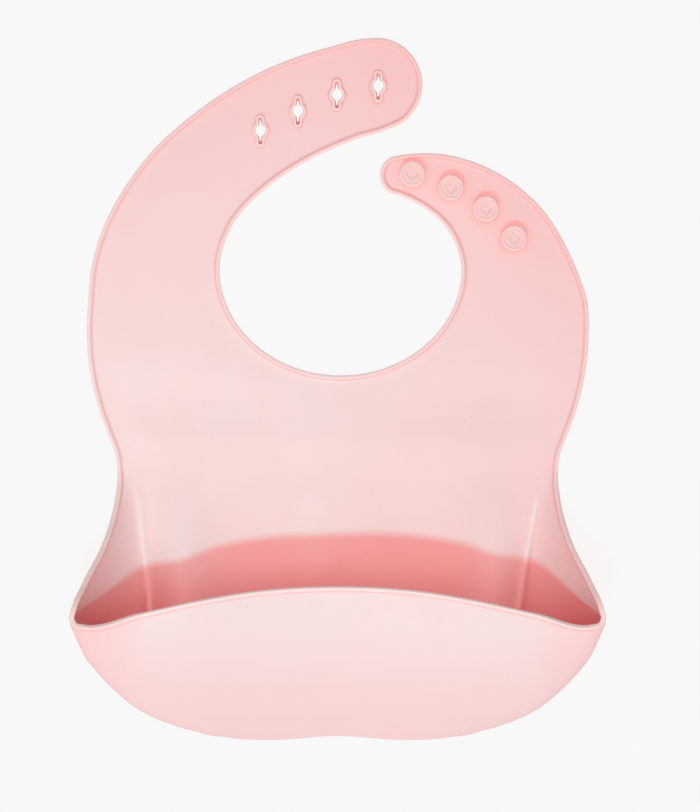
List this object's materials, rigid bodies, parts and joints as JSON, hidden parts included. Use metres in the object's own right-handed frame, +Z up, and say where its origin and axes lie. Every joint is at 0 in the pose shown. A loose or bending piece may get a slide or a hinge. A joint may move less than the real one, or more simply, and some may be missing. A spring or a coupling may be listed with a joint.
{
  "type": "silicone baby bib",
  "caption": "Moulded silicone baby bib lying on its back: round neck opening, overlapping straps with studs and buttonholes, flexing panel and a deep scoop pocket.",
  "frame": {"origin": "centre of the neck opening, on the plane of the back face that lies on the table", "axes": "+X across the bib towards the stud strap's side, +Y from the pocket towards the straps, +Z up out of the front face"},
  "size_m": [0.23, 0.3005, 0.0433],
  "materials": {
    "panel_silicone": "satin translucent silicone with a fine matte skin",
    "strap_silicone": "satin translucent silicone with a fine matte skin",
    "pocket_silicone": "satin translucent silicone, smoother inside",
    "stud_silicone": "satin silicone, polished flat heads"
  },
  "bodies": {
    "pocket_body": {"lower_panel": "panel_silicone", "left_gusset": "pocket_silicone", "right_gusset": "pocket_silicone", "pocket_floor": "pocket_silicone"},
    "front_wall": {"pocket_front": "pocket_silicone"},
    "collar": {"yoke_panel": "panel_silicone"},
    "hole_strap_base": {"hole_strap_root": "strap_silicone"},
    "hole_strap_centre": {"hole_strap_middle": "strap_silicone"},
    "hole_strap_end": {"hole_strap_tip": "strap_silicone"},
    "stud_strap_base": {"stud_strap_root": "strap_silicone", "stud_3": "stud_silicone", "stud_4": "stud_silicone"},
    "stud_strap_end": {"stud_strap_tip": "strap_silicone", "stud_1": "stud_silicone", "stud_2": "stud_silicone"}
  },
  "joints": [
    {"name": "waist_fold", "type": "hinge", "parent": "pocket_body", "child": "collar", "pos_m": [-0.0012, -0.072, 0.0026], "axis": [1, 0, 0], "range_deg": [0, 90], "stiffness_Nm_per_rad": 0.008},
    {"name": "hole_strap_fold", "type": "hinge", "parent": "collar", "child": "hole_strap_base", "pos_m": [-0.0796, 0, 0.0026], "axis": [1, 0, 0], "range_deg": [0, 60], "stiffness_Nm_per_rad": 0.0024},
    {"name": "hole_strap_bend", "type": "hinge", "parent": "hole_strap_base", "child": "hole_strap_centre", "pos_m": [-0.04732, 0.05074, 0.0026], "axis": [0.6281, -0.7781, 0], "range_deg": [0, 30], "stiffness_Nm_per_rad": 0.0018},
    {"name": "hole_strap_curl", "type": "hinge", "parent": "hole_strap_centre", "child": "hole_strap_end", "pos_m": [-0.01009, 0.07179, 0.0026], "axis": [0.3591, -0.9333, 0], "range_deg": [0, 30], "stiffness_Nm_per_rad": 0.0018},
    {"name": "stud_strap_fold", "type": "hinge", "parent": "collar", "child": "stud_strap_base", "pos_m": [0.0767, 0, 0.0026], "axis": [1, 0, 0], "range_deg": [0, 60], "stiffness_Nm_per_rad": 0.0022},
    {"name": "stud_strap_curl", "type": "hinge", "parent": "stud_strap_base", "child": "stud_strap_end", "pos_m": [0.05478, 0.03036, 0.0026], "axis": [0.5839, 0.8118, 0], "range_deg": [0, 30], "stiffness_Nm_per_rad": 0.0013},
    {"name": "pocket_open", "type": "hinge", "parent": "pocket_body", "child": "front_wall", "pos_m": [-0.0012, -0.198, 0.013], "axis": [1, 0, 0], "range_deg": [0, 12], "stiffness_Nm_per_rad": 0.02}
  ],
  "couplings": [
    {"joint": "hole_strap_bend", "follows": "hole_strap_fold", "ratio": 0.5},
    {"joint": "hole_strap_curl", "follows": "hole_strap_fold", "ratio": 0.5},
    {"joint": "stud_strap_curl", "follows": "stud_strap_fold", "ratio": 0.5}
  ]
}
